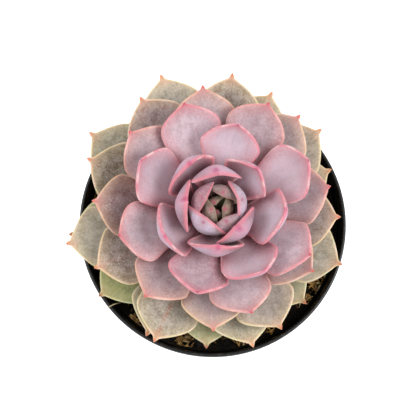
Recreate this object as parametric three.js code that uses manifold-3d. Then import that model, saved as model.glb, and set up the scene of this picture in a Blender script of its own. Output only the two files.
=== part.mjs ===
// A potted echeveria: a rosette of spirally set fleshy leaves on a short stem, rooted in potting soil
// in a round plastic nursery pot. Millimetres, +Z up, origin at the middle of the pot's flat underside.

import * as THREE from 'three';
import { mergeVertices } from 'three/addons/utils/BufferGeometryUtils.js';
import Module from 'manifold-3d';

const wasm = await Module();
wasm.setup();

// Points nearer than this are one point.
const SAME_POINT = 1e-4;

// Gap left between neighbouring pieces.
const FIT = 0.3;

// Pot
const POT_HEIGHT = 88;
const RIM_RADIUS = 53.6;
const RIM_THICKNESS = 1.5;
const COLLAR_HEIGHT = 13;
const COLLAR_STEP = 1.3;
const LIP_HEIGHT = 3.2;
const LIP_CORNERS = 4;
const CORNER = 0.6;
const FOOT_RADIUS = 37.5;
const FOOT_BEVEL = 1.5;
const WALL = 1.3;
const FLOOR = 1.6;
const DRAIN_SLOTS = 8;
const DRAIN_WIDTH = 7;
const DRAIN_DEPTH = 8;
const DRAIN_RISE = 5;
const POT_SEGMENTS = 48;

// Soil
const SOIL_EDGE = 78;
const SOIL_MOUND = 2.5;
const SOIL_RELIEF = 0.4;
const SOIL_RINGS = [45.5, 41, 36, 30, 20, 10, 0];
const SOIL_SEGMENTS = 36;
const CHUNKS = 23;
const CHUNK_SIZE = [0.9, 2.1];
const CHUNK_BREADTH = [0.8, 1.3];
const CHUNK_FLATNESS = 0.7;
const CHUNK_RISE = 0.1;
const CHUNK_RING = [34, 47.5];
const CHUNK_TURN = 2.4;
const CHUNK_SEED = 100;

// Stem: it leans from its foot in the soil to the heart of the rosette.
const STEM_FOOT = new THREE.Vector2(-2.3, 3);
const STEM_HEAD = new THREE.Vector2(2.1, 0.8);
const STEM_TOP_AGE = 13;
const STEM_ROOT_Z = 66;
const STEM_SEGMENTS = 20;
const GROWING_TIP = 1.2;
const LOWEST_LEAF_Z = 83.5;
const HIGHEST_LEAF_Z = 110;

// Rosette: leaf 0 is the innermost but for the tip leaf that is still forming. Each next leaf is older,
// lower and one divergence further round.
const TIP_LEAF = -1;
const TIP_LEAF_REACH = 0.4;
const LEAVES = 58;
const HEART_LEAVES = 8;
const DIVERGENCE = -137;
const FIRST_AZIMUTH = 110;
const ROLL = 0.028;
const NEIGHBOURS = 10;

// How far each leaf strays from the spiral in degrees, and how far its tip reaches from the stem's axis.
const SWAY = [
  15, 17, 9, 7, 17, 9, 9, 3, 2, 0,
  -1, 4, 3, 1, -4, -8, -0.4, 0.6, -11.6, -1.4,
  5.1, -6.8, -5.7, -1.5, 1.1, 2.7, -10.5, -0.6, -1.1, -2.5,
  8, -7, 1.4, 1.7, -10.1, 2, -11.4, 0.2, -3.4, -10.7,
  7.1, -6.1, -6.6, -0.8, -9.6, -2, 0, -5.5, 6.2, 6.2,
  3.2, -5.7, 2.4, 3, -2.5, 3.8, -1.7, -3.7,
];
const REACH = [
  1.4, 1.3, 1.2, 3.8, 5, 4.3, 7.6, 6.3, 10.4, 10.6,
  10.5, 20, 15.4, 17, 26.2, 22, 32, 31.5, 33, 40.2,
  34.5, 41.9, 41.7, 38.5, 46.4, 43.9, 44.6, 46.4, 43.7, 49.4,
  46.5, 47, 51.4, 47.8, 53.7, 50.7, 51, 56.5, 54.2, 53.6,
  55.7, 55.9, 59.6, 56.3, 58.3, 56, 56.1, 58.4, 52.5, 54.7,
  47.9, 52.9, 56.2, 48.9, 53.6, 48, 50.8, 54.3,
];

// Leaves that the one above them presses down, and by how much at the tip.
const PRESSED = { 12: 0.6, 17: 0.5, 25: 0.5, 30: 1, 45: 1.2, 48: 0.6, 50: 0.5, 51: 1.3, 54: 1.5 };

// How far a tip stands to one side of its leaf's middle line, in millimetres.
const SKEW = {
  8: -2.5, 9: -2.5, 11: -3.2, 12: 0.8, 13: -3.6, 14: 3, 15: 2,
  16: -2, 17: 2.8, 18: -2.4, 20: 2.6, 22: 1.8, 24: -0.8, 25: 1.5,
};

// Leaves whose tip stands steeper or flatter than their neighbours', in degrees.
const LEAN = { 6: -30, 8: 4, 9: 10, 10: 18, 11: -24, 12: 26, 13: 28, 14: -4, 15: 16, 16: -6, 18: 4 };

// Leaf sizes that change with age, each given at a few leaf numbers.
const AGES = [-1, 0, 4, 8, 12, 16, 20, 25, 30, 40, 48, 57];
const WIDTH = [7, 11, 14.6, 19.4, 21.6, 23.2, 24, 24.5, 24.5, 25.5, 25, 23.5];
const TIP_Z = [118.4, 119.5, 124, 128, 128.5, 126, 122.5, 117, 111.5, 102, 96, 90.5];
const BASE_SHARE = [0.42, 0.42, 0.42, 0.32, 0.26, 0.26, 0.26, 0.26, 0.26, 0.26, 0.26, 0.26];
const BASE_SLOPE = [66, 66, 64, 58, 49, 42, 36, 30, 26, 17, 12, 7];
const TIP_SLOPE = [165, 170, 168, 138, 104, 80, 60, 44, 32, 18, 13, 10];
const BEND = [0.5, 0.5, 0.55, 0.44, 0.38, 0.38, 0.38, 0.38, 0.38, 0.38, 0.38, 0.38];
const BASE_CUP = [0.5, 0.5, 0.45, 0.36, 0.3, 0.25, 0.2, 0.16, 0.12, 0.1, 0.08, 0.06];
const END_CUP = [0.3, 0.3, 0.4, 0.56, 0.36, 0.2, 0.2, 0.16, 0.14, 0.11, 0.09, 0.08];
const FOLD = [1, 1, 1, 0.6, 0.3, 0.25, 0.3, 0.4, 0.6, 1, 1.5, 2];
const END_LENGTH = [0.26, 0.24, 0.2, 0.28, 0.46, 0.5, 0.5, 0.5, 0.5, 0.52, 0.52, 0.52];
const END_CURVE = [1.4, 1.4, 1.6, 1.8, 1.85, 1.8, 1.85, 1.85, 1.8, 1.7, 1.7, 1.6];
const POINT_START = [0.95, 0.95, 0.95, 0.95, 0.94, 0.92, 0.89, 0.86, 0.84, 0.83, 0.83, 0.83];
const THICKNESS = [1.4, 1.6, 2.2, 2.6, 2.8, 3, 3.1, 3.1, 3, 2.9, 2.8, 2.7];
const EDGE_DEPTH = [0.4, 0.4, 0.7, 1.3, 1.4, 1.4, 1.3, 1.1, 0.9, 0.7, 0.6, 0.5];
const STEM_RADIUS = [0.7, 0.8, 1.8, 2.8, 3.6, 4.2, 4.9, 5.6, 5.9, 6.3, 6.5, 6.8];

// Leaf form. Lengths are in millimetres, and the rest are shares of the leaf's length, width or thickness.
const BASE_BODY = 0.75;
const CUP_START = 0.35;
const SWELL = 2;
const BLUNTNESS = 0.9;
const POINT_WIDTH = 0.8;
const POINT_BLEND = 2.2;
const EDGE_SHARE = 0.5;
const UPPER_ROUNDNESS = 5;
const LOWER_ROUNDNESS = 3;
const LOWER_FULLNESS = 0.7;
const DEEPEST_SECTION = 1.3;
const TIP_TAPER = 0.16;
const SKEW_CURVE = 4;
const HEART_ROOT = 0.3;
const STATIONS = [0, 0.36, 0.72, 1];
const END_STATIONS = [0.28, 0.52, 0.72, 0.87, 1];
const ACROSS = [-1, -0.7, -0.36, 0, 0.36, 0.7, 1];
const HEART_ACROSS = [-1, -0.5, 0, 0.5, 1];

// Colours
const BLACK_PLASTIC = new THREE.MeshStandardMaterial({ color: 0x1c1c1e, roughness: 0.45, metalness: 0 });
const DAMP_SOIL = new THREE.MeshStandardMaterial({ color: 0x241c14, roughness: 0.95, metalness: 0 });
const STEM_SKIN = new THREE.MeshStandardMaterial({ color: 0x8f8463, roughness: 0.8, metalness: 0 });
const LEAF_ROUGHNESS = 0.6;
const LEAF_COLOURS = [
  [0, 0x8b8d74], [7, 0xc9a4ab], [20, 0xcda0aa], [33, 0xb3948f], [45, 0xa9a088], [57, 0xa9ad84],
];
const HEART_COLOUR_AGE = 3;

function atAge(values, age) {
  let i = 1;
  while (i < AGES.length - 1 && AGES[i] < age) i += 1;
  const share = THREE.MathUtils.clamp((age - AGES[i - 1]) / (AGES[i] - AGES[i - 1]), 0, 1);
  return THREE.MathUtils.lerp(values[i - 1], values[i], share);
}

// Waxy leaf skin: olive at the heart, pink around it, taupe further out and green at the oldest leaves.
function leafSkin(age) {
  const stop = LEAF_COLOURS.findIndex(([oldest]) => age <= oldest);
  const [older, towards] = LEAF_COLOURS[stop];
  const [younger, from] = LEAF_COLOURS[stop - 1];
  const color = new THREE.Color(from).lerp(new THREE.Color(towards), (age - younger) / (older - younger));
  return new THREE.MeshStandardMaterial({ color, roughness: LEAF_ROUGHNESS, metalness: 0 });
}

function toSolid(geometry) {
  const plain = geometry.clone();
  plain.deleteAttribute('normal');
  plain.deleteAttribute('uv');
  const merged = mergeVertices(plain, SAME_POINT);
  const mesh = new wasm.Mesh({
    numProp: 3,
    vertProperties: new Float32Array(merged.attributes.position.array),
    triVerts: new Uint32Array(merged.index.array),
  });
  return new wasm.Manifold(mesh);
}

function toGeometry(solid) {
  const mesh = solid.getMesh();
  const geometry = new THREE.BufferGeometry();
  geometry.setAttribute('position', new THREE.BufferAttribute(new Float32Array(mesh.vertProperties), 3));
  geometry.setIndex(new THREE.BufferAttribute(new Uint32Array(mesh.triVerts), 1));
  geometry.computeVertexNormals();
  return geometry;
}

function piece(name, geometry, look) {
  const mesh = new THREE.Mesh(geometry, look);
  mesh.name = name;
  return mesh;
}

function attachHeight(age) {
  return THREE.MathUtils.lerp(HIGHEST_LEAF_Z, LOWEST_LEAF_Z, age / (LEAVES - 1));
}

function stemAxis(z) {
  const share = THREE.MathUtils.clamp((HIGHEST_LEAF_Z - z) / (HIGHEST_LEAF_Z - LOWEST_LEAF_Z), 0, 1);
  return STEM_HEAD.clone().lerp(STEM_FOOT, share);
}

// The leaf's midrib, in its own upright plane: x outwards from the stem's axis, y up.
function midrib(age, room) {
  const root = age < HEART_LEAVES ? HEART_ROOT * atAge(STEM_RADIUS, age) : atAge(STEM_RADIUS, age) + FIT;
  const rise = THREE.MathUtils.degToRad(atAge(BASE_SLOPE, age));
  const fall = THREE.MathUtils.degToRad(atAge(TIP_SLOPE, age) + (LEAN[age] ?? 0));
  const upwards = new THREE.Vector2(Math.cos(rise), Math.sin(rise));
  const onwards = new THREE.Vector2(Math.cos(fall), Math.sin(fall));
  const start = new THREE.Vector2(root, attachHeight(age)).addScaledVector(upwards, -room);
  const end = new THREE.Vector2(REACH[age] ?? TIP_LEAF_REACH, atAge(TIP_Z, age) - (PRESSED[age] ?? 0));
  const handle = atAge(BEND, age) * start.distanceTo(end);
  const first = start.clone().addScaledVector(upwards, handle);
  const second = end.clone().addScaledVector(onwards, -handle);
  return new THREE.CubicBezierCurve(start, first, second, end);
}

// Half-width of the blade from 0 to 1: a narrow base, a wide shoulder and a blunt end with a short point.
function bladeShare(toShoulder, toTip, age) {
  const swell = Math.sin(Math.PI / 2 * toShoulder ** SWELL);
  if (toTip <= 0) return THREE.MathUtils.lerp(atAge(BASE_SHARE, age), 1, swell);
  const blunt = Math.max(0, 1 - (toTip / atAge(POINT_START, age)) ** atAge(END_CURVE, age)) ** BLUNTNESS;
  const point = POINT_WIDTH * (1 - toTip) * toTip ** 2;
  return (blunt ** POINT_BLEND + point ** POINT_BLEND) ** (1 / POINT_BLEND);
}

// How high a cupped blade lies at a share of its half-width. A small fold gives it a sharp crease.
function cupRise(across, fold) {
  return (Math.hypot(across, fold) - fold) / (Math.hypot(1, fold) - fold);
}

// Where a face of the blade lies above its cupped middle sheet: the upper one is flat with a rounded edge,
// and the lower one is a full keel.
function faceHeight(across, upper, body, edge) {
  const far = Math.abs(across);
  if (upper) return edge * (Math.sqrt(1 - far ** UPPER_ROUNDNESS) - 1);
  return -edge - (body - edge) * (1 - far ** LOWER_ROUNDNESS) ** LOWER_FULLNESS;
}

// One leaf as a closed skin: an upper face that is cupped and an underside that is rounded.
// A swollen copy stands room further out all over.
function leafGeometry(age, room = 0) {
  const curve = midrib(age, room);
  const length = curve.getLength();
  const halfWidth = atAge(WIDTH, age) / 2;
  const shoulder = 1 - atAge(END_LENGTH, age) * 2 * halfWidth / length;
  const stations = STATIONS.map((share) => [share * shoulder, share, 0]);
  END_STATIONS.forEach((share) => stations.push([shoulder + share * (1 - shoulder), 1, share]));

  const axis = stemAxis(attachHeight(age));
  const azimuth = THREE.MathUtils.degToRad(FIRST_AZIMUTH + DIVERGENCE * age + (SWAY[age] ?? 0));
  const out = new THREE.Vector3(Math.cos(azimuth), Math.sin(azimuth), 0);
  const side = new THREE.Vector3(-Math.sin(azimuth), Math.cos(azimuth), 0);
  const columns = age < HEART_LEAVES ? HEART_ACROSS : ACROSS;
  const positions = [];
  for (const [along, toShoulder, toTip] of stations) {
    const point = curve.getPointAt(along);
    const slope = curve.getTangentAt(along);
    const up = out.clone().multiplyScalar(-slope.y).setZ(slope.x);
    const middle = out.clone().multiplyScalar(point.x).add(new THREE.Vector3(axis.x, axis.y, point.y));
    middle.addScaledVector(side, (SKEW[age] ?? 0) * along ** SKEW_CURVE);
    const breadth = halfWidth * bladeShare(toShoulder, toTip, age);
    const reach = toTip < 1 ? breadth + room : 0;
    const swelling = BASE_BODY + (1 - BASE_BODY) * Math.sin(Math.PI * along);
    const taper = Math.sqrt(Math.min(1, (1 - along) / TIP_TAPER));
    const body = Math.min(atAge(THICKNESS, age) * swelling, DEEPEST_SECTION * breadth) * taper;
    const cupShare = THREE.MathUtils.lerp(atAge(BASE_CUP, age), atAge(END_CUP, age), along ** 2);
    const cup = cupShare * Math.min(1, along / CUP_START) * breadth;
    const edge = Math.min(atAge(EDGE_DEPTH, age), EDGE_SHARE * body);
    for (const upper of [true, false]) {
      for (const across of columns) {
        const off = reach * across;
        const skin = faceHeight(across, upper, body, edge);
        const swell = (upper ? room : -room) * (1 - Math.abs(across) ** UPPER_ROUNDNESS);
        const rise = cupRise(off / Math.max(breadth, FIT), atAge(FOLD, age));
        const lift = cup * rise - ROLL * off + skin + swell;
        positions.push(middle.clone().addScaledVector(side, off).addScaledVector(up, lift));
      }
    }
  }
  const geometry = new THREE.BufferGeometry().setFromPoints(positions);
  geometry.setIndex(leafFaces(stations.length, columns.length));
  return geometry;
}

// Triangles of a leaf: both faces split alike, and the base closed. The tip's last row is one point.
function leafFaces(rows, columns) {
  const faces = [];
  const at = (row, face, column) => (row * 2 + face) * columns + column;
  for (let row = 0; row < rows - 1; row += 1) {
    for (let column = 0; column < columns - 1; column += 1) {
      const here = at(row, 0, column);
      const next = at(row + 1, 0, column);
      const upper = [here, here + 1, next, next + 1];
      const lower = upper.map((index) => index + columns);
      const leftHalf = column < (columns - 1) / 2;
      const split = leftHalf ? [[0, 2, 3], [0, 3, 1]] : [[0, 2, 1], [1, 2, 3]];
      for (const [a, b, c] of split) {
        faces.push([upper[a], upper[b], upper[c]], [lower[a], lower[c], lower[b]]);
      }
    }
  }
  for (let column = 0; column < columns - 1; column += 1) {
    const top = at(0, 0, column);
    const bottom = at(0, 1, column);
    faces.push([top, top + 1, bottom], [top + 1, bottom + 1, bottom]);
  }
  return faces.flat();
}

// The older leaf gives way wherever a younger one would press into it.
function rosetteSolids() {
  const solids = new Map();
  for (let age = TIP_LEAF; age < LEAVES; age += 1) {
    let leaf = toSolid(leafGeometry(age));
    const parted = age >= HEART_LEAVES;
    for (let younger = Math.max(TIP_LEAF, age - NEIGHBOURS); parted && younger < age; younger += 1) {
      if (leaf.intersect(solids.get(younger)).volume() > 0) {
        leaf = largest(leaf.subtract(toSolid(leafGeometry(younger, FIT))));
      }
    }
    solids.set(age, leaf);
  }
  return solids;
}

function largest(solid) {
  return solid.decompose().reduce((best, part) => (part.volume() > best.volume() ? part : best));
}

// A round body turned about the stem's own leaning line, from [radius, height] points.
function turnedOnStem(outline) {
  const points = outline.map(([radius, z]) => new THREE.Vector2(radius, z));
  const geometry = new THREE.LatheGeometry(points, STEM_SEGMENTS).rotateX(Math.PI / 2);
  const position = geometry.attributes.position;
  for (let i = 0; i < position.count; i += 1) {
    const axis = stemAxis(position.getZ(i));
    position.setXY(i, position.getX(i) + axis.x, position.getY(i) + axis.y);
  }
  return geometry;
}

function stemPoints(ages) {
  return ages.map((age) => [atAge(STEM_RADIUS, age), attachHeight(age)]);
}

// The innermost leaves with the growing tip that they spring from.
function heartGeometry(solids) {
  const bottom = attachHeight(STEM_TOP_AGE) + FIT;
  const outline = [[0, bottom], [atAge(STEM_RADIUS, STEM_TOP_AGE), bottom]];
  outline.push(...stemPoints([HEART_LEAVES, HEART_LEAVES / 2, 0]), [0, HIGHEST_LEAF_Z + GROWING_TIP]);
  let heart = toSolid(turnedOnStem(outline));
  for (let age = TIP_LEAF; age < HEART_LEAVES; age += 1) {
    heart = heart.add(solids.get(age));
  }
  return toGeometry(heart);
}

function stemGeometry() {
  const widest = STEM_RADIUS.at(-1);
  const outline = [[0, STEM_ROOT_Z], [widest, STEM_ROOT_Z]];
  outline.push(...stemPoints([LEAVES - 1, 40, 30, 25, 20, 16, STEM_TOP_AGE]));
  outline.push([0, attachHeight(STEM_TOP_AGE)]);
  return turnedOnStem(outline);
}

// Outside radius of the pot's wall, from its foot to the underside of the collar.
function wallRadius(z) {
  const share = (z - FOOT_BEVEL) / (POT_HEIGHT - COLLAR_HEIGHT - FOOT_BEVEL);
  return THREE.MathUtils.lerp(FOOT_RADIUS, RIM_RADIUS - RIM_THICKNESS - COLLAR_STEP, share);
}

function potGeometry() {
  const collar = POT_HEIGHT - COLLAR_HEIGHT;
  const shoulder = wallRadius(collar);
  const lip = RIM_THICKNESS / 2;
  const skirt = RIM_RADIUS - lip;
  const underLip = POT_HEIGHT - LIP_HEIGHT;
  const outline = [
    [0, 0], [FOOT_RADIUS - FOOT_BEVEL, 0], [FOOT_RADIUS, FOOT_BEVEL], [shoulder, collar - CORNER],
    [skirt - CORNER, collar + CORNER], [skirt, underLip - CORNER], [RIM_RADIUS, underLip],
  ];
  for (let corner = 0; corner <= LIP_CORNERS; corner += 1) {
    const turn = Math.PI * corner / LIP_CORNERS;
    outline.push([skirt + lip * Math.cos(turn), POT_HEIGHT - lip + lip * Math.sin(turn)]);
  }
  outline.push(
    [skirt - WALL, underLip - CORNER], [skirt - CORNER - WALL, collar + CORNER],
    [shoulder - WALL, collar - CORNER], [wallRadius(FLOOR) - WALL, FLOOR], [0, FLOOR],
  );
  const points = outline.map(([radius, z]) => new THREE.Vector2(radius, z));
  let pot = toSolid(new THREE.LatheGeometry(points, POT_SEGMENTS).rotateX(Math.PI / 2));
  for (let slot = 0; slot < DRAIN_SLOTS; slot += 1) {
    const cutter = new THREE.BoxGeometry(DRAIN_DEPTH, DRAIN_WIDTH, 2 * DRAIN_RISE);
    cutter.translate(FOOT_RADIUS - DRAIN_DEPTH / 2 + FOOT_BEVEL, 0, 0);
    cutter.rotateZ((slot + 0.5) * 2 * Math.PI / DRAIN_SLOTS);
    pot = pot.subtract(toSolid(cutter));
  }
  return toGeometry(pot);
}

// Height of the soil: a low mound with a lumpy crust.
function soilHeight(x, y) {
  const radius = Math.hypot(x, y) / RIM_RADIUS;
  const lumps = Math.sin(0.55 * x + 1.3 * Math.sin(0.31 * y)) + Math.sin(0.47 * y + 1.7 * Math.sin(0.37 * x));
  return SOIL_EDGE + SOIL_MOUND * (1 - radius ** 2) + SOIL_RELIEF * lumps;
}

function soilGeometry() {
  const collar = POT_HEIGHT - COLLAR_HEIGHT;
  const edge = RIM_RADIUS - RIM_THICKNESS / 2 - CORNER - WALL - FIT;
  const foot = wallRadius(FLOOR) - WALL - FIT;
  const under = wallRadius(collar) - WALL - FIT;
  const outline = [[0, FLOOR + FIT], [foot, FLOOR + FIT], [under, collar - CORNER], [edge, collar + CORNER]];
  [edge, ...SOIL_RINGS].forEach((radius) => outline.push([radius, SOIL_EDGE]));
  const points = outline.map(([radius, z]) => new THREE.Vector2(radius, z));
  const geometry = new THREE.LatheGeometry(points, SOIL_SEGMENTS).rotateX(Math.PI / 2);
  const position = geometry.attributes.position;
  for (let i = 0; i < position.count; i += 1) {
    if (position.getZ(i) > SOIL_EDGE - FIT) {
      position.setZ(i, soilHeight(position.getX(i), position.getY(i)));
    }
  }
  let soil = toSolid(geometry);
  for (let chunk = 0; chunk < CHUNKS; chunk += 1) {
    soil = soil.add(toSolid(chunkGeometry(chunk)));
  }
  const stem = stemAxis(LOWEST_LEAF_Z);
  const hole = STEM_RADIUS.at(-1) + FIT;
  const cutter = new THREE.CylinderGeometry(hole, hole, POT_HEIGHT, STEM_SEGMENTS).rotateX(Math.PI / 2);
  cutter.translate(stem.x, stem.y, STEM_ROOT_Z - FIT + POT_HEIGHT / 2);
  return toGeometry(largest(soil.subtract(toSolid(cutter))));
}

// One piece of bark or grit, half sunk in the soil.
function chunkGeometry(chunk) {
  const draw = () => THREE.MathUtils.seededRandom();
  THREE.MathUtils.seededRandom(CHUNK_SEED + chunk);
  const azimuth = chunk * CHUNK_TURN;
  const radius = THREE.MathUtils.lerp(...CHUNK_RING, Math.sqrt(draw()));
  const size = THREE.MathUtils.lerp(...CHUNK_SIZE, draw() ** 2);
  const geometry = new THREE.IcosahedronGeometry(1, 0);
  const length = size * (1 + draw());
  const breadth = size * THREE.MathUtils.lerp(...CHUNK_BREADTH, draw());
  geometry.scale(length, breadth, size * CHUNK_FLATNESS);
  geometry.rotateZ(draw() * Math.PI);
  const x = radius * Math.cos(azimuth);
  const y = radius * Math.sin(azimuth);
  return geometry.translate(x, y, soilHeight(x, y) + CHUNK_RISE * size);
}

const solids = rosetteSolids();
const plant = new THREE.Group();
plant.add(piece('pot', potGeometry(), BLACK_PLASTIC));
plant.add(piece('soil', soilGeometry(), DAMP_SOIL));
plant.add(piece('stem', stemGeometry(), STEM_SKIN));
plant.add(piece('heart', heartGeometry(solids), leafSkin(HEART_COLOUR_AGE)));
for (let age = HEART_LEAVES; age < LEAVES; age += 1) {
  plant.add(piece(`leaf_${String(age).padStart(2, '0')}`, toGeometry(solids.get(age)), leafSkin(age)));
}
export default plant;
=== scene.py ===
import math

import bpy
import numpy as np
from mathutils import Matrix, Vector
from mathutils.kdtree import KDTree


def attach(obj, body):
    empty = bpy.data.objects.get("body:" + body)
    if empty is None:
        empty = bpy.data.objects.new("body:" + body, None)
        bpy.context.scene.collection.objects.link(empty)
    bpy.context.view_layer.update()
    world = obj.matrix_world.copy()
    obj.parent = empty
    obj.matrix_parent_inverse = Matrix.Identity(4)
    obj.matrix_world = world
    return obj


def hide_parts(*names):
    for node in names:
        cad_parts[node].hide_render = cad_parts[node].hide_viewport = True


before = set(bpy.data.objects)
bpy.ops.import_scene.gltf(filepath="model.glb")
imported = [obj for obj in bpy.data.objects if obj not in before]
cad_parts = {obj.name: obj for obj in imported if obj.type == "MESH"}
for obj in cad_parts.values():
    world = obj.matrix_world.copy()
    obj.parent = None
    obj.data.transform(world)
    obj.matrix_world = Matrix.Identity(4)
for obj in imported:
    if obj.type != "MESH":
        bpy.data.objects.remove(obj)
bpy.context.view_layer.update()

MM = 0.001
GAP = 0.3

# Pot
POT_HEIGHT = 88
RIM_RADIUS = 53.6
RIM_THICKNESS = 1.5
COLLAR_HEIGHT = 13
COLLAR_STEP = 1.3
LIP_HEIGHT = 3.2
FOOT_RADIUS = 37.5
FOOT_BEVEL = 1.5
WALL = 1.3
FLOOR = 1.6
CORNER = 0.6
OUTSIDE_ROUNDING = 0.5
INSIDE_ROUNDING = 0.8
LIP_STEPS = 10
DRAIN_SLOTS = 8
DRAIN_WIDTH = 7
DRAIN_DEPTH = 8
DRAIN_RISE = 5
POT_SEGMENTS = 192

# Rounded corners of turned outlines: the most of a side that a corner may take, and steps in its curve
MOST_CUT = 0.45
ROUNDING_STEPS = 4

# Soil
SOIL_EDGE = 78
SOIL_MOUND = 2.5
SOIL_RELIEF = 0.4
SOIL_CRUST = 0.25
# Waves of the soil's lumps and of its crust, one along X and one along Y: how fast each comes and goes in a
# millimetre, how far it winds and how fast it winds
LUMP_WAVES = [(0.55, 1.3, 0.31), (0.47, 1.7, 0.37)]
CRUST_WAVES = [(1.7, 2.1, 1.1), (1.9, 1.6, 1.3)]
SOIL_RINGS = 72
SOIL_SEGMENTS = 240

# Chunks of bark, sunk into the soil in a ring round the plant. A range runs from the least to the most.
CHUNKS = 23
CHUNK_SEED = 100
BARK_SEED = 7
CHUNK_TURN = 2.4
CHUNK_RING = (34, 47.5)
CHUNK_SIZE = (0.9, 2.1)
CHUNK_BREADTH = (0.8, 1.3)
CHUNK_FLATNESS = 0.7
CHUNK_RISE = 0.1
CHUNK_SHRINKAGE = 0.95
CHUNK_FACETS = (9, 14)

# Crumbs, straw and fibre that lie loose on the soil
CRUMBS = 900
CRUMB_SEED = 11
CRUMB_SIZE = (0.25, 0.9)
CRUMB_SHAPE = ([0.8, 0.6, 0.5], [1.6, 1, 0.9])
CRUMB_RISE = 0.3
CRUMB_FACETS = (4, 6)
LITTER_RING = (30, 48)
LITTER_EDGE = 49.6
LUMP_KNOBS = 5
KNOB_TURNS = 2.2
KNOB_HEIGHT = 0.13
LUMP_SQUARENESS = 0.8
FIBRE_SEED = 23
FIBRE_LENGTH = (1.2, 4.5)
FIBRE_RADIUS = (0.14, 0.42)
FIBRE_BEND = 0.5
FIBRE_ARCH = 0.9
FIBRE_RISE = 0.1
STRAND_END = 0.35
STRAND_SPAN = (0.05, 0.95)
FIBRE_SIDES = 5
FIBRE_STEPS = 6
# Where the litter lies thickest: the middle of each drift, its spread and how many fibres lie in it.
DRIFTS = [
    (43, -21.5, 4.6, 60), (37.5, -30, 2.6, 16), (-47, 12.5, 2.6, 40), (-10.8, -46.6, 3.4, 36),
    (22.5, -41.5, 2.6, 12), (12, -47.3, 2, 14), (-31, -38, 2.8, 24), (-44, -24, 3, 16), (0, 0, 48, 220),
]
# One long straw leans over the lip: its foot, the point that bows it and its end.
LIP_STRAW = [(-36.5, -31.2, 81.5), (-38.6, -32.3, 90.5), (-42, -34.2, 88.6)]
LIP_STRAW_RADIUS = 0.22
LIP_STRAW_STEPS = 8

# Stem
STEM_FOOT = np.array([-2.3, 3.0])
STEM_HEAD = np.array([2.1, 0.8])
STEM_ROOT_Z = 66
STEM_AGES = [57, 48, 40, 30, 25, 20, 16, 13]
STEM_RINGS = 90
STEM_SEGMENTS = 72
STEM_ROUNDING = 0.6
SCAR_DEPTH = 0.022
# Old leaf scars: waves round the stem, and how far each turns in a millimetre of height, in radians
SCAR_WAVES = [(5, 1.9), (8, -1.4)]
LOWEST_LEAF_Z = 83.5
HIGHEST_LEAF_Z = 110

# Rosette: leaf 0 is the innermost but for the tip leaf that is still forming. Each next leaf is older, lower
# and one divergence further round.
LEAVES = 58
HEART_LEAVES = 8
DIVERGENCE = -137
FIRST_AZIMUTH = 110
TIP_LEAF = -1
TIP_LEAF_REACH = 0.4
ROLL = 0.028
GROUPS = [
    ("heart_leaf", TIP_LEAF, 7), ("inner_leaf", 8, 19), ("middle_leaf", 20, 33),
    ("outer_leaf", 34, 49), ("lowest_leaf", 50, 57),
]

# How far each leaf strays from the spiral in degrees, and how far its tip reaches from the stem's axis.
SWAY = [
    15, 17, 9, 7, 17, 9, 9, 3, 2, 0,
    -1, 4, 3, 1, -4, -8, -0.4, 0.6, -11.6, -1.4,
    5.1, -6.8, -5.7, -1.5, 1.1, 2.7, -10.5, -0.6, -1.1, -2.5,
    8, -7, 1.4, 1.7, -10.1, 2, -11.4, 0.2, -3.4, -10.7,
    7.1, -6.1, -6.6, -0.8, -9.6, -2, 0, -5.5, 6.2, 6.2,
    3.2, -5.7, 2.4, 3, -2.5, 3.8, -1.7, -3.7,
]
REACH = [
    1.4, 1.3, 1.2, 3.8, 5, 4.3, 7.6, 6.3, 10.4, 10.6,
    10.5, 20, 15.4, 17, 26.2, 22, 32, 31.5, 33, 40.2,
    34.5, 41.9, 41.7, 38.5, 46.4, 43.9, 44.6, 46.4, 43.7, 49.4,
    46.5, 47, 51.4, 47.8, 53.7, 50.7, 51, 56.5, 54.2, 53.6,
    55.7, 55.9, 59.6, 56.3, 58.3, 56, 56.1, 58.4, 52.5, 54.7,
    47.9, 52.9, 56.2, 48.9, 53.6, 48, 50.8, 54.3,
]
# Leaves that the one above them presses down, and by how much at the tip.
PRESSED = {12: 0.6, 17: 0.5, 25: 0.5, 30: 1, 45: 1.2, 48: 0.6, 50: 0.5, 51: 1.3, 54: 1.5}
# How far a tip stands to one side of its leaf's middle line, in millimetres.
SKEW = {
    8: -2.5, 9: -2.5, 11: -3.2, 12: 0.8, 13: -3.6, 14: 3, 15: 2, 16: -2, 17: 2.8, 18: -2.4, 20: 2.6,
    22: 1.8, 24: -0.8, 25: 1.5,
}
# Leaves whose tip stands steeper or flatter than their neighbours', in degrees.
LEAN = {6: -30, 8: 4, 9: 10, 10: 18, 11: -24, 12: 26, 13: 28, 14: -4, 15: 16, 16: -6, 18: 4}

# Duskiness is partly a leaf's own darker tone and partly painted shade.
# How dusky single leaves are where it isn't the usual, and how flushed some midribs are, from 0 to 1.
DUSK_AND_SHADE = {
    3: 0.5, 4: 0.4, 5: 0.7, 6: 0, 7: 0.05, 8: 0.1, 9: 0.1, 10: 0.05, 11: 0, 12: 0, 13: 0, 14: 0, 15: 0,
    16: 0, 17: 0.15, 18: 0.2, 19: 0.15, 20: 0.3, 21: 0, 22: 0, 24: 0.22, 25: 0.07, 28: 0.28, 31: 0.68,
    33: 0.15, 34: 0.2, 36: 0.42, 37: 0.4, 38: 0, 39: 0.6, 40: 0.05, 41: 0.25, 42: 0, 43: 0, 44: 0,
}
USUAL_DUSK_AND_SHADE = 0.12
VEIN = {36: 0.12, 41: 0.4, 45: 0.25}

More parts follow.
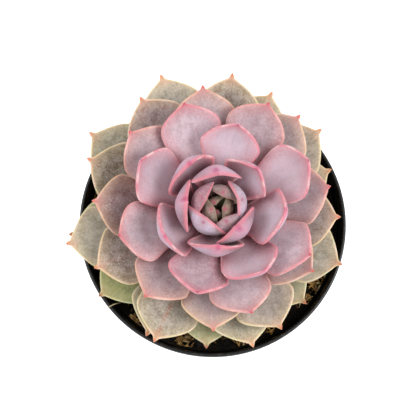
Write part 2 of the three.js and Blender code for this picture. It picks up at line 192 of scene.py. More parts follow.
# Leaf sizes that change with age, each given at a few leaf numbers.
AGES = [-1, 0, 4, 8, 12, 16, 20, 25, 30, 40, 48, 57]
WIDTH = [7, 11, 14.6, 19.4, 21.6, 23.2, 24, 24.5, 24.5, 25.5, 25, 23.5]
TIP_Z = [118.4, 119.5, 124, 128, 128.5, 126, 122.5, 117, 111.5, 102, 96, 90.5]
BASE_SHARE = [0.42, 0.42, 0.42, 0.32, 0.26, 0.26, 0.26, 0.26, 0.26, 0.26, 0.26, 0.26]
BASE_SLOPE = [66, 66, 64, 58, 49, 42, 36, 30, 26, 17, 12, 7]
TIP_SLOPE = [165, 170, 168, 138, 104, 80, 60, 44, 32, 18, 13, 10]
BEND = [0.5, 0.5, 0.55, 0.44, 0.38, 0.38, 0.38, 0.38, 0.38, 0.38, 0.38, 0.38]
BASE_CUP = [0.5, 0.5, 0.45, 0.36, 0.3, 0.25, 0.2, 0.16, 0.12, 0.1, 0.08, 0.06]
END_CUP = [0.3, 0.3, 0.4, 0.56, 0.36, 0.2, 0.2, 0.16, 0.14, 0.11, 0.09, 0.08]
FOLD = [1, 1, 1, 0.6, 0.3, 0.25, 0.3, 0.4, 0.6, 1, 1.5, 2]
END_LENGTH = [0.26, 0.24, 0.2, 0.28, 0.46, 0.5, 0.5, 0.5, 0.5, 0.52, 0.52, 0.52]
END_CURVE = [1.4, 1.4, 1.6, 1.8, 1.85, 1.8, 1.85, 1.85, 1.8, 1.7, 1.7, 1.6]
POINT_START = [0.95, 0.95, 0.95, 0.95, 0.94, 0.92, 0.89, 0.86, 0.84, 0.83, 0.83, 0.83]
THICKNESS = [1.4, 1.6, 2.2, 2.6, 2.8, 3, 3.1, 3.1, 3, 2.9, 2.8, 2.7]
EDGE_DEPTH = [0.4, 0.4, 0.7, 1.3, 1.4, 1.4, 1.3, 1.1, 0.9, 0.7, 0.6, 0.5]
RIM_WIDTH = [0.6, 0.7, 0.9, 2.4, 2.2, 1.4, 1.15, 1.05, 1, 1, 0.95, 0.9]
STEM_RADIUS = [0.7, 0.8, 1.8, 2.8, 3.6, 4.2, 4.9, 5.6, 5.9, 6.3, 6.5, 6.8]
# How far the mark at a leaf's tip lies back from the very end, and how far it may stray to a side.
MARK_BACK = [0.8, 0.9, 1.6, 2, 1.2, 0.3, 0, 0, 0, 0, 0, 0]
MARK_STRAY = [0.3, 0.3, 0.6, 1.2, 1.8, 1.2, 0.3, 0, 0, 0, 0, 0]
# The heart turns from green to pink between these two ages.
GREEN_LEAVES = (1, 5.5)

# Steps along the spiral to the leaves that lie over a leaf, and the width of an open gap in millimetres.
# Every second point of a leaf's back is enough to measure the gap from.
COVERING = (3, 5, 8, 13)
OPEN_GAP = 20
BACK_STRIDE = 2

# Leaf form. Lengths are in millimetres, and the rest are shares of the leaf's length, width or thickness.
BASE_BODY = 0.75
CUP_START = 0.35
SWELL = 2
BLUNTNESS = 0.9
POINT_WIDTH = 0.8
POINT_BLEND = 2.2
DEEPEST_SECTION = 1.3
TIP_TAPER = 0.16
HEART_ROOT = 0.3
EDGE_SHARE = 0.5
UPPER_ROUNDNESS = 5
LOWER_ROUNDNESS = 3
LOWER_FULLNESS = 0.7
SKEW_CURVE = 4
MIDRIB_STEPS = 400
TIP_CROWDING = 1.5
# Slow unevenness of a leaf's edges and faces: how strong it is, and how fast it comes and goes along the
# leaf. It fades out towards the root and the tip.
EDGE_WAVER = 0.014
LEFT_WAVES = (14, 29)
RIGHT_WAVES = (15, 27)
SHORT_WAVE = 0.7
LIFT_WAVER = 0.16
LIFT_WAVES = (11, 17)
CALM_ROOT = 0.25
CALM_TIP = 0.86
# How far apart the leaves and the two sides of one leaf lie in the texture, so that no two look alike.
LEAF_APART = 60
SIDE_APART = 20
BLADE_STATIONS = 17
END_STATIONS = 26
ACROSS_STEPS = 26


def at_age(values, age):
    return float(np.interp(age, AGES, values))


def lerp(a, b, share):
    return a + (b - a) * share


def smooth(low, high, value):
    share = np.clip((value - low) / (high - low), 0, 1)
    return share * share * (3 - 2 * share)


def mesh_piece(name, points, faces, skin, node, values=None):
    """A smooth-shaded piece from points in millimetres.

    values holds the numbers or vectors that its material reads at each point.
    """
    mesh = bpy.data.meshes.new(name)
    mesh.from_pydata((np.asarray(points) * MM).tolist(), [], faces)
    for key, column in (values or {}).items():
        column = np.asarray(column, np.float32)
        vector = column.ndim == 2
        attribute = mesh.attributes.new(key, "FLOAT_VECTOR" if vector else "FLOAT", "POINT")
        attribute.data.foreach_set("vector" if vector else "value", column.ravel())
    mesh.polygons.foreach_set("use_smooth", [True] * len(mesh.polygons))
    mesh.materials.append(skin)
    mesh.validate()
    piece = bpy.data.objects.new(name, mesh)
    bpy.context.scene.collection.objects.link(piece)
    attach(piece, "root")
    if node:
        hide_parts(node)


def joined(parts):
    """One (points, faces, values) from several."""
    points, faces, start = [], [], 0
    for part in parts:
        points.append(part[0])
        faces += [[index + start for index in face] for face in part[1]]
        start += len(part[0])
    values = {key: np.concatenate([part[2][key] for part in parts]) for key in parts[0][2]}
    return np.concatenate(points), faces, values


def tube_faces(rows, ring):
    """Quads between each ring of points and the next one."""
    faces = []
    for row in range(rows - 1):
        for i in range(ring):
            j = (i + 1) % ring
            faces.append([row * ring + i, row * ring + j, (row + 1) * ring + j, (row + 1) * ring + i])
    return faces


def spun(points, angle):
    """The points turned about Z."""
    c, s = math.cos(angle), math.sin(angle)
    return points @ np.array([[c, s, 0], [-s, c, 0], [0, 0, 1]])


# Rosette form

def attach_height(age):
    return lerp(HIGHEST_LEAF_Z, LOWEST_LEAF_Z, age / (LEAVES - 1))


def stem_axis(z):
    share = np.clip((HIGHEST_LEAF_Z - z) / (HIGHEST_LEAF_Z - LOWEST_LEAF_Z), 0, 1)
    return lerp(STEM_HEAD, STEM_FOOT, share)


def midrib(age, shares):
    """The midrib in its upright plane: points and unit slopes at shares of its length, and the length."""
    stem = at_age(STEM_RADIUS, age)
    root = HEART_ROOT * stem if age < HEART_LEAVES else stem + GAP
    start = np.array([root, attach_height(age)])
    reach = TIP_LEAF_REACH if age == TIP_LEAF else REACH[age]
    end = np.array([reach, at_age(TIP_Z, age) - PRESSED.get(age, 0)])
    handle = at_age(BEND, age) * np.linalg.norm(end - start)
    rise = math.radians(at_age(BASE_SLOPE, age))
    fall = math.radians(at_age(TIP_SLOPE, age) + LEAN.get(age, 0))
    first = start + handle * np.array([math.cos(rise), math.sin(rise)])
    second = end - handle * np.array([math.cos(fall), math.sin(fall)])

    def bezier(u):
        u = u[:, None]
        left = 1 - u
        return left ** 3 * start + 3 * left ** 2 * u * first + 3 * left * u ** 2 * second + u ** 3 * end

    def slope(u):
        u = u[:, None]
        left = 1 - u
        rate = left ** 2 * (first - start) + 2 * left * u * (second - first) + u ** 2 * (end - second)
        return rate / np.linalg.norm(rate, axis=1)[:, None]

    fine = np.linspace(0, 1, MIDRIB_STEPS)
    walked = np.concatenate([[0], np.cumsum(np.linalg.norm(np.diff(bezier(fine), axis=0), axis=1))])
    u = np.interp(shares * walked[-1], walked, fine)
    return bezier(u), slope(u), walked[-1]


def blade_share(to_shoulder, to_tip, age):
    """Half-width of the blade from 0 to 1: narrow root, wide shoulder and blunt end with a short point."""
    body = lerp(at_age(BASE_SHARE, age), 1, np.sin(math.pi / 2 * to_shoulder ** SWELL))
    blunt = 1 - (to_tip / at_age(POINT_START, age)) ** at_age(END_CURVE, age)
    blunt = np.maximum(0, blunt) ** BLUNTNESS
    point = POINT_WIDTH * (1 - to_tip) * to_tip ** 2
    end = (blunt ** POINT_BLEND + point ** POINT_BLEND) ** (1 / POINT_BLEND)
    return np.where(to_tip > 0, end, body)


def blade_stations(age, length):
    """Where a leaf is measured: shares of the way to the shoulder, from there to the tip, and in all."""
    shoulder = 1 - at_age(END_LENGTH, age) * at_age(WIDTH, age) / length
    to_shoulder = np.concatenate([np.linspace(0, 1, BLADE_STATIONS), np.ones(END_STATIONS)])
    crowded = 1 - np.linspace(1, 0, END_STATIONS + 1)[1:] ** TIP_CROWDING
    to_tip = np.concatenate([np.zeros(BLADE_STATIONS), crowded])
    share = np.where(to_tip > 0, lerp(shoulder, 1, to_tip), to_shoulder * shoulder)
    return to_shoulder, to_tip, share


def blade_sections(age, share, breadth, phase):
    """Round each section: offset from the midrib, height over it, and 1 for the points of the back."""
    upper = np.sin(np.linspace(-math.pi / 2, math.pi / 2, ACROSS_STEPS + 1))
    across = np.concatenate([upper, upper[-2:0:-1]])[None, :]
    below = np.concatenate([np.zeros(ACROSS_STEPS + 1), np.ones(ACROSS_STEPS - 1)])[None, :]
    row = share[:, None]
    calm = smooth(0, CALM_ROOT, row) * smooth(1, CALM_TIP, row)
    left = np.sin(LEFT_WAVES[0] * row + phase[0]) + SHORT_WAVE * np.sin(LEFT_WAVES[1] * row + phase[1])
    right = np.sin(RIGHT_WAVES[0] * row + phase[2]) + SHORT_WAVE * np.sin(RIGHT_WAVES[1] * row + phase[3])
    waver = np.where(across < 0, left, right)
    off = breadth[:, None] * across * (1 + EDGE_WAVER * waver * calm)

    swelling = BASE_BODY + (1 - BASE_BODY) * np.sin(math.pi * share)
    taper = np.sqrt(np.minimum(1, (1 - share) / TIP_TAPER))
    body = np.minimum(at_age(THICKNESS, age) * swelling, DEEPEST_SECTION * breadth) * taper
    edge = np.minimum(at_age(EDGE_DEPTH, age), EDGE_SHARE * body)
    top = edge[:, None] * (np.sqrt(1 - np.abs(across) ** UPPER_ROUNDNESS) - 1)
    keel = (body - edge)[:, None] * (1 - np.abs(across) ** LOWER_ROUNDNESS) ** LOWER_FULLNESS
    skin = np.where(below > 0, -edge[:, None] - keel, top)

    cup = lerp(at_age(BASE_CUP, age), at_age(END_CUP, age), share ** 2)
    cup = cup * np.minimum(1, share / CUP_START) * breadth
    fold = at_age(FOLD, age)
    rise = (np.sqrt(across ** 2 + fold ** 2) - fold) / (math.sqrt(1 + fold ** 2) - fold)
    ripple = across * np.sin(LIFT_WAVES[0] * row + phase[4])
    ripple = ripple + across ** 2 * np.sin(LIFT_WAVES[1] * row + phase[5])
    lift = cup[:, None] * rise - ROLL * off + skin + LIFT_WAVER * calm * ripple
    return off, lift, np.broadcast_to(below, off.shape)


def edge_distance(x, y, outline):
    """Distance of each point (x, y) of the flattened blade from its outline."""
    start, way = outline[:-1], np.diff(outline, axis=0)
    rays = np.stack([x, y], -1)[:, None, :] - start
    share = np.clip((rays * way).sum(-1) / np.maximum((way ** 2).sum(-1), 1e-9), 0, 1)
    return np.linalg.norm(rays - share[..., None] * way, axis=-1).min(1)


def group_of(age):
    """Which group of GROUPS a leaf belongs to."""
    return next(index for index, (_, first, last) in enumerate(GROUPS) if first <= age <= last)


def leaf_stage(age):
    """How far a leaf has come from its group's young tones to its old ones, from 0 to 1."""
    name, first, last = GROUPS[group_of(age)]
    stage = (age - first) / (last + 1 - first)
    if name == "heart_leaf":
        stage = float(smooth(*GREEN_LEAVES, age))
    elif name == "outer_leaf":
        stage = math.sqrt(stage)
    return stage


def leaf_values(age, share, length, off, below, draw):
    """What the leaf skin reads at each point: its place on the flat blade, and the leaf's own traits."""
    x = np.broadcast_to(share[:, None] * length, off.shape)
    left = np.stack([x[1:, 0], off[1:, 0]], -1)
    right = np.stack([x[1:, ACROSS_STEPS], off[1:, ACROSS_STEPS]], -1)
    mark_back = at_age(MARK_BACK, age)
    mark_side = at_age(MARK_STRAY, age) * draw.uniform(-1, 1)
    values = {
        "margin": edge_distance(x.ravel(), off.ravel(), np.concatenate([left, right[::-1]])),
        "along": np.broadcast_to(share[:, None], off.shape).ravel(),
        "tip_distance": np.hypot(x - length + mark_back, off - mark_side).ravel(),
        "below": below.ravel(),
        "blade": np.stack([x, off, LEAF_APART * age + SIDE_APART * below], -1).reshape(-1, 3),
    }
    traits = {
        "stage": leaf_stage(age),
        "rim": at_age(RIM_WIDTH, age),
        "dusk_and_shade": DUSK_AND_SHADE.get(age, USUAL_DUSK_AND_SHADE),
        "vein": VEIN.get(age, 0),
    }
    for key, trait in traits.items():
        values[key] = np.full(off.size, float(trait))
    return values


def leaf(age):
    """Points, faces and surface values of one leaf. Its last row is the single point of the tip."""
    length = midrib(age, np.array([1.0]))[2]
    to_shoulder, to_tip, share = blade_stations(age, length)
    rib, slope, _ = midrib(age, share)
    breadth = at_age(WIDTH, age) / 2 * blade_share(to_shoulder, to_tip, age)
    draw = np.random.default_rng(age - TIP_LEAF)
    off, lift, below = blade_sections(age, share, breadth, draw.uniform(0, 2 * math.pi, 6))

    sway = 0 if age == TIP_LEAF else SWAY[age]
    azimuth = math.radians(FIRST_AZIMUTH + DIVERGENCE * age + sway)
    out = np.array([math.cos(azimuth), math.sin(azimuth), 0])
    side = np.array([-math.sin(azimuth), math.cos(azimuth), 0])
    upright = np.array([0, 0, 1])
    axis = np.append(stem_axis(attach_height(age)), 0)
    middle = rib[:, 0:1] * out + rib[:, 1:2] * upright + axis
    middle += SKEW.get(age, 0) * share[:, None] ** SKEW_CURVE * side
    up = -slope[:, 1:2] * out + slope[:, 0:1] * upright
    points = middle[:, None, :] + off[..., None] * side + lift[..., None] * up[:, None, :]

    rows, ring = off.shape
    kept = (rows - 1) * ring + 1
    values = leaf_values(age, share, length, off, below, draw)
    values = {key: column[:kept] for key, column in values.items()}
    return points.reshape(-1, 3)[:kept], leaf_faces(rows, ring), values


def leaf_faces(rows, ring):
    """Faces of a leaf: its tube, the fan round its tip and the flat end at its root."""
    faces = tube_faces(rows - 1, ring)
    last, tip = (rows - 2) * ring, (rows - 1) * ring
    faces += [[last + i, last + (i + 1) % ring, tip] for i in range(ring)]
    for i in range(ring // 2):
        corners = [i, (ring - i) % ring, ring - i - 1, i + 1]
        faces.append(list(dict.fromkeys(corners)))
    return faces


def cover_gaps(leaves):
    """How far each point of a leaf is from the backs of the younger leaves over it, in millimetres: where
    shade is painted.
    """
    trees = {}
    for age, (points, _, values) in leaves.items():
        backs = points[values["below"] > 0.5][::BACK_STRIDE]
        trees[age] = KDTree(len(backs))
        for index, point in enumerate(backs):
            trees[age].insert(point, index)
        trees[age].balance()
    gaps = {}
    for age, (points, _, _) in leaves.items():
        gaps[age] = np.full(len(points), float(OPEN_GAP))
        for step in COVERING:
            if age - step in trees:
                find = trees[age - step].find
                gaps[age] = np.minimum(gaps[age], [find(point)[2] for point in points])
    return gaps


# Shader building

def paint(code):
    """Linear colour of an sRGB hex code."""
    channels = [int(code[i:i + 2], 16) / 255 for i in (0, 2, 4)]
    return [c / 12.92 if c <= 0.04045 else ((c + 0.055) / 1.055) ** 2.4 for c in channels] + [1]


# Sockets of a mix node that blends colours. Each kind of value has its own A, B and result there.
COLOUR_A = 6
COLOUR_B = 7
COLOUR_RESULT = 2


class Graph:
    """Adds nodes to a tree. An input is a number, a colour or another node's output."""

    def __init__(self, tree):
        self.tree = tree

    def node(self, kind, settings=None, **inputs):
        made = self.tree.nodes.new(kind)
        for key, value in (settings or {}).items():
            setattr(made, key, value)
        for key, value in inputs.items():
            self.feed(made.inputs[key.replace("_", " ")], value)
        return made

    def feed(self, socket, value):
        if isinstance(value, bpy.types.NodeSocket):
            self.tree.links.new(value, socket)
        else:
            socket.default_value = value

    def math(self, operation, a, b=0.0, clamp=False):
        made = self.node("ShaderNodeMath", {"operation": operation, "use_clamp": clamp})
        self.feed(made.inputs[0], a)
        self.feed(made.inputs[1], b)
        return made.outputs[0]

    def times(self, a, b):
        return self.math("MULTIPLY", a, b)

    def plus(self, a, b):
        return self.math("ADD", a, b)

    def step(self, value, low, high):
        """0 at low and 1 at high, smooth between them."""
        made = self.node("ShaderNodeMapRange", {"interpolation_type": "SMOOTHSTEP"}, Value=value)
        self.feed(made.inputs["From Min"], low)
        self.feed(made.inputs["From Max"], high)
        return made.outputs["Result"]

    def mix(self, share, a, b):
        """Colour a where share is 0 and colour b where it is 1."""
        made = self.node("ShaderNodeMix", {"data_type": "RGBA"})
        self.feed(made.inputs["Factor"], share)
        self.feed(made.inputs[COLOUR_A], a)
        self.feed(made.inputs[COLOUR_B], b)
        return made.outputs[COLOUR_RESULT]

    def noise(self, where, scale, detail, rough):
        """Cloudy noise round 0.5, with scale cells in each unit of where."""
        made = self.node("ShaderNodeTexNoise", Vector=where, Scale=scale, Detail=detail, Roughness=rough)
        return made.outputs["Fac"]

    def stretched(self, where, stretch):
        made = self.node("ShaderNodeVectorMath", {"operation": "MULTIPLY"})
        self.feed(made.inputs[0], where)
        self.feed(made.inputs[1], stretch)
        return made.outputs[0]

    def attribute(self, name, output="Fac"):
        return self.node("ShaderNodeAttribute", {"attribute_name": name}).outputs[output]


def shader_group(name, inputs, outputs, fill):
    """A node group with named sockets. inputs and outputs are {name: (kind, default)} and {name: kind}."""
    tree = bpy.data.node_groups.new(name, "ShaderNodeTree")
    for key, (kind, default) in inputs.items():
        socket = tree.interface.new_socket(name=key, in_out="INPUT", socket_type="NodeSocket" + kind)
        if default is not None:
            socket.default_value = default
    for key, kind in outputs.items():
        tree.interface.new_socket(name=key, in_out="OUTPUT", socket_type="NodeSocket" + kind)
    graph = Graph(tree)
    given = graph.node("NodeGroupInput").outputs
    made = graph.node("NodeGroupOutput")
    for key, value in fill(graph, given).items():
        graph.feed(made.inputs[key], value)
    return tree


def placed(graph, tree, values):
    """A group placed in a material with its own values."""
    made = graph.node("ShaderNodeGroup", {"node_tree": tree})
    for key, value in values.items():
        graph.feed(made.inputs[key], value)
    return made.outputs


def material(name, constants, fill):
    """A material: constants of its Principled shader, and what fill(graph) returns for other sockets."""
    made = bpy.data.materials.new(name)
    made.use_nodes = True
    graph = Graph(made.node_tree)
    shader = made.node_tree.nodes["Principled BSDF"]
    for key, value in constants.items():
        shader.inputs[key].default_value = value
    for key, value in fill(graph).items():
        graph.feed(shader.inputs[key], value)
    return made


def bumped(graph, height, distance):
    made = graph.node("ShaderNodeBump", Height=height, Strength=1.0)
    made.inputs["Distance"].default_value = distance * MM
    return made.outputs["Normal"]


def place(graph):
    """Where a point is on the object, in millimetres."""
    spot = graph.node("ShaderNodeTexCoord").outputs["Object"]
    return graph.stretched(spot, (1 / MM,) * 3)


# Finishes that several materials share

# A window holds the value of a noise or a measure where a mask is 0, and the value where it is 1.
# A texture holds the detail and roughness of a noise whose scale is given elsewhere.
PORE_TEXTURE = (3.0, 0.6)
WAVE_TEXTURE = (2.0, 0.5)
SPECK_TEXTURE = (4.0, 0.75)
SPECK_WINDOW = (0.5, 0.64)
SPECK_DRIFT_NOISE = (0.16, 2.0, 0.5)
SPECK_DRIFT_WINDOW = (0.35, 0.7)


def fine_grain(graph, given):
    """Low pores and waves of a grown or moulded skin."""
    pores = graph.noise(given["Place"], given["Pore Scale"], *PORE_TEXTURE)
    waves = graph.noise(given["Place"], given["Wave Scale"], *WAVE_TEXTURE)
    height = graph.plus(graph.times(pores, given["Pore Height"]), graph.times(waves, given["Wave Height"]))
    return {"Height": height, "Mask": pores}


def pale_specks(graph, given):
    """Fine pale specks that lie in loose drifts."""
    dots = graph.step(graph.noise(given["Place"], given["Scale"], *SPECK_TEXTURE), *SPECK_WINDOW)
    drifts = graph.step(graph.noise(given["Place"], *SPECK_DRIFT_NOISE), *SPECK_DRIFT_WINDOW)
    return {"Mask": graph.times(graph.times(dots, drifts), given["Amount"])}


GRAIN = shader_group(
    "fine grain",
    {"Place": ("Vector", None), "Pore Scale": ("Float", 2.0), "Pore Height": ("Float", 0.3),
     "Wave Scale": ("Float", 0.2), "Wave Height": ("Float", 1.0)},
    {"Height": "Float", "Mask": "Float"}, fine_grain)
SPECKS = shader_group(
    "pale specks",
    {"Place": ("Vector", None), "Scale": ("Float", 1.5), "Amount": ("Float", 0.5)},
    {"Mask": "Float"}, pale_specks)

# Leaf colours that change with age: at the first leaf of each group, and after the last one.
AGE_TONES = {
    "Face": ["8f8a68", "e8dae8", "e2ccd6", "c4b3b2", "d0cbb6", "c4c780"],
    "Shade": ["5c5a3c", "a05a66", "8c5660", "775850", "7b7355", "7f8656"],
    "Rim": ["b9ac90", "e88e9b", "e28a97", "e6c89c", "efe3b0", "e3e2a6"],
    "Back": ["8f7a64", "d0bfd2", "cbb5c5", "ad9e95", "b0b18d", "a8b27e"],
    "Mark": ["c03a68", "b04074", "d83f68", "d9694f", "c9704a", "5a2a1c"],
}
# Colours and strengths of each group, from the heart leaves to the lowest ones.
GROUP_TONES = {
    # Painted Shade and Painted Crevice Shade are painted shade: warm under younger leaves, and deep where
    # one lies close.
    "Painted Shade": ["6a5a42", "a04d58", "96505a", "7a5348", "7c7250"],
    "Painted Crevice Shade": ["2b2112", "4a1518", "4a1a1a", "3d231b", "2e2617"],
    "Blush": ["b0807c", "e07f98", "dd7484", "e8a27c", "c99a6a"],
}
GROUP_VALUES = {
    "Mottle": [0.3, 0.08, 0.25, 0.5, 0.35],
    "Streaks": [0.1, 0.1, 0.15, 0.3, 0.3],
    "Specks": [0.1, 0.15, 0.45, 0.6, 0.5],
    "Grain": [0.3, 0.14, 0.22, 0.32, 0.3],
    "Flush": [0.35, 0.36, 0.4, 0.3, 0.25],
    "Painted Highlight Strength": [0.3, 0.6, 0.35, 0.4, 0.4],
    "Mark Size": [1.1, 2, 2.4, 2.6, 2.8],
    "Mark Strength": [0.75, 0.65, 0.95, 0.95, 1],
    "Shadow Reach": [4, 8, 5.5, 4.5, 4.5],
}
# Wax is the pale bloom of the skin; Painted Highlight is the colour of the painted highlight on the rims.
COMMON_TONES = {"Wax": "e6dcda", "Painted Highlight": "fbe6e2"}
FLESH = {
    "Subsurface Weight": 0.3, "Subsurface Radius": (1.0, 0.45, 0.4), "Subsurface Scale": 2.2 * MM,
    "Sheen Weight": 0.25, "Sheen Roughness": 0.35, "IOR": 1.42,
}

# Noises on the flattened blade: cells a millimetre, detail and roughness
DRIFT_NOISE = (0.11, 3.0, 0.55)
PATCH_NOISE = (0.3, 4.0, 0.6)
GRAIN_NOISE = (1.1, 4.0, 0.75)
GLINT_NOISE = (0.22, 2.0, 0.5)
STREAK_NOISE = (1.0, 3.0, 0.6)
STREAK_STRETCH = (0.06, 0.7, 1)
SPECK_SCALE = 1.6
SKIN_GRAIN = {"Pore Scale": 2.6, "Pore Height": 0.25, "Wave Scale": 0.16, "Wave Height": 1.6}
SKIN_RELIEF = 0.12

# Windows of the noises, and of the share of the leaf's length
MOTTLE_WINDOW = (0.35, 0.65)
VEIN_WINDOW = (0.2, 0.7)
STREAK_WINDOW = (0.5, 0.75)
DARK_WINDOW = (0.5, 0.36)
PALE_WINDOW = (0.5, 0.64)
GLINT_WINDOW = (0.42, 0.66)
ROOT_WINDOW = (0.6, 0.15)
RIM_WINDOW = (0.12, 0.4)

# Strengths from 0 to 1, and the power that curves the fading of the painted crevice shade
CREVICE_CURVE = 1.1
CREVICE_STRENGTH = 0.9
PAINTED_SHADE_STRENGTH = 0.72
RIM_STRENGTH = 0.9
BLUSH_STRENGTH = 0.4
ROUGHNESS = 0.5
PATCH_ROUGHNESS = 0.16
RIM_SMOOTHNESS = 0.12

# Distances in millimetres: where a mask ends, and where it has its full strength
RIDGE_REACH = 1.6
RIDGE_FULL = 0.1
FLUSH_REACH = 2.5
FLUSH_DRIFT = 8
FLUSH_FULL = 0.5
GAP_FULL = 0.5
CREVICE_FULL = 0.3
BLUSH_FULL = 0.5

# Shares of the shadow's reach, the mark's size or the rim's width
CREVICE_SHARE = 0.68
BLUSH_SHARE = 3
MARK_LEAST = 0.5
RIM_LEAST = 0.4
RIM_DRIFT = 1.2
RIM_FULL = 0.1
RIM_ON_BACK = 0.6
CREST_SHARE = 0.7
CREST_FULL = 0.2


def leaf_face(graph, given, here, tones):
    """The upper side: dusky mottle and painted shade, the flush inside the margin, a flushed midrib and long
    streaks.
    """
    mottle = graph.times(graph.step(here["patch"], *MOTTLE_WINDOW), given["Mottle"])
    # The per-leaf darkening is partly the leaf's own tone and partly painted shade.
    face = graph.mix(graph.math("ADD", mottle, here["dusk_and_shade"], True), tones["Face"], tones["Shade"])
    reach = graph.plus(FLUSH_REACH, graph.times(here["drift"], FLUSH_DRIFT))
    flush = graph.times(graph.step(here["margin"], reach, FLUSH_FULL), given["Flush"])
    face = graph.mix(flush, face, tones["Rim"])
    across = graph.node("ShaderNodeSeparateXYZ", Vector=here["blade"]).outputs["Y"]
    ridge = graph.step(graph.math("ABSOLUTE", across), RIDGE_REACH, RIDGE_FULL)
    ridge = graph.times(graph.times(ridge, here["vein"]), graph.step(here["patch"], *VEIN_WINDOW))
    face = graph.mix(ridge, face, tones["Mark"])
    streak = graph.noise(graph.stretched(here["blade"], STREAK_STRETCH), *STREAK_NOISE)
    streak = graph.times(graph.step(streak, *STREAK_WINDOW), given["Streaks"])
    return graph.mix(streak, face, tones["Shade"])


def leaf_shadow(graph, given, here, skin):
    """Warm painted shade towards the root and under younger leaves, deep where one lies close over this one.
    """
    reach = given["Shadow Reach"]
    # Towards the root the darkening is partly the base's own deeper colour and partly painted shade.
    at_root = graph.step(here["along"], *ROOT_WINDOW)
    shaded = graph.math("MAXIMUM", at_root, graph.step(here["gap"], reach, GAP_FULL))
    skin = graph.mix(graph.times(shaded, PAINTED_SHADE_STRENGTH), skin, given["Painted Shade"])
    covered = graph.step(here["gap"], graph.times(reach, CREVICE_SHARE), CREVICE_FULL)
    covered = graph.times(graph.math("POWER", covered, CREVICE_CURVE), CREVICE_STRENGTH)
    return graph.mix(covered, skin, given["Painted Crevice Shade"])


def leaf_powder(graph, given, here, skin, shade):
    """The wax coat: a fine grain, darker and paler, and pale specks."""
    grain = graph.noise(here["blade"], *GRAIN_NOISE)
    skin = graph.mix(graph.times(graph.step(grain, *DARK_WINDOW), given["Grain"]), skin, shade)
    skin = graph.mix(graph.times(graph.step(grain, *PALE_WINDOW), given["Grain"]), skin, given["Wax"])
    specks = placed(graph, SPECKS, {"Place": here["blade"], "Scale": SPECK_SCALE, "Amount": given["Specks"]})
    return graph.mix(specks["Mask"], skin, given["Wax"])


def leaf_rim(graph, given, here, skin, tone):
    """The coloured margin with a painted highlight along its crest that glints in places, and how strong the
    margin is.
    """
    upper = graph.math("SUBTRACT", 1.0, here["below"])
    width = graph.times(here["rim"], graph.plus(RIM_LEAST, graph.times(here["drift"], RIM_DRIFT)))
    band = graph.step(here["margin"], width, graph.times(width, RIM_FULL))
    band = graph.times(band, graph.step(here["along"], *RIM_WINDOW))
    on_back = graph.step(here["margin"], graph.times(width, RIM_ON_BACK), 0.0)
    band = graph.times(band, graph.plus(upper, graph.times(on_back, here["below"])))
    skin = graph.mix(graph.times(band, RIM_STRENGTH), skin, tone)
    # The pale crest is a painted highlight, broken into glints by a noise.
    glint = graph.step(graph.noise(here["blade"], *GLINT_NOISE), *GLINT_WINDOW)
    crest = graph.step(here["margin"], graph.times(width, CREST_SHARE), graph.times(width, CREST_FULL))
    crest = graph.times(graph.times(crest, glint), upper)
    return graph.mix(graph.times(crest, given["Painted Highlight Strength"]), skin, given["Painted Highlight"]), band


def leaf_tip(graph, given, here, skin, tone):
    """The blush round the tip and the darker mark on it."""
    size = given["Mark Size"]
    blush = graph.step(here["tip_distance"], graph.times(size, BLUSH_SHARE), BLUSH_FULL)
    skin = graph.mix(graph.times(blush, BLUSH_STRENGTH), skin, given["Blush"])
    mark = graph.step(here["tip_distance"], graph.times(size, graph.plus(MARK_LEAST, here["patch"])), 0.0)
    return graph.mix(graph.times(mark, given["Mark Strength"]), skin, tone)


def leaf_skin(graph, given):
    """Colour, roughness and relief of a leaf from its own surface values."""
    names = ["margin", "along", "tip_distance", "below", "stage", "rim", "dusk_and_shade", "vein", "gap"]
    here = {name: graph.attribute(name) for name in names}
    here["blade"] = graph.attribute("blade", "Vector")
    here["drift"] = graph.noise(here["blade"], *DRIFT_NOISE)
    here["patch"] = graph.noise(here["blade"], *PATCH_NOISE)
    tones = {}
    for tone in AGE_TONES:
        tones[tone] = graph.mix(here["stage"], given[tone + " Young"], given[tone + " Old"])

    face = leaf_face(graph, given, here, tones)
    # The back darkens by the same per-leaf amount, partly its own tone and partly painted shade.
    back = graph.mix(here["dusk_and_shade"], tones["Back"], tones["Shade"])
    skin = graph.mix(here["below"], face, back)
    skin = leaf_shadow(graph, given, here, skin)
    skin = leaf_powder(graph, given, here, skin, tones["Shade"])
    skin, band = leaf_rim(graph, given, here, skin, tones["Rim"])
    skin = leaf_tip(graph, given, here, skin, tones["Mark"])

    relief = placed(graph, GRAIN, {"Place": here["blade"], **SKIN_GRAIN})["Height"]
    rough = graph.plus(ROUGHNESS, graph.times(here["patch"], PATCH_ROUGHNESS))
    rough = graph.math("SUBTRACT", rough, graph.times(band, RIM_SMOOTHNESS))
    return {"Color": skin, "Roughness": rough, "Height": relief}


AGED_TONES = [f"{tone} {end}" for tone in AGE_TONES for end in ("Young", "Old")]
SKIN = shader_group(
    "leaf skin",
    {**{key: ("Color", None) for key in AGED_TONES + list(GROUP_TONES) + list(COMMON_TONES)},
     **{key: ("Float", 0.5) for key in GROUP_VALUES}},
    {"Color": "Color", "Roughness": "Float", "Height": "Float"}, leaf_skin)


def leaf_material(index):
    """The skin of one group of leaves."""
    values = {key: paint(code) for key, code in COMMON_TONES.items()}
    for key, by_group in GROUP_VALUES.items():
        values[key] = by_group[index]
    for key, codes in GROUP_TONES.items():
        values[key] = paint(codes[index])
    for key, codes in AGE_TONES.items():
        values[key + " Young"] = paint(codes[index])
        values[key + " Old"] = paint(codes[index + 1])

    def fill(graph):
        skin = placed(graph, SKIN, values)
        relief = bumped(graph, skin["Height"], SKIN_RELIEF)
        return {"Base Color": skin["Color"], "Roughness": skin["Roughness"], "Normal": relief}

    return material(GROUPS[index][0].replace("_", " ") + " skin", FLESH, fill)


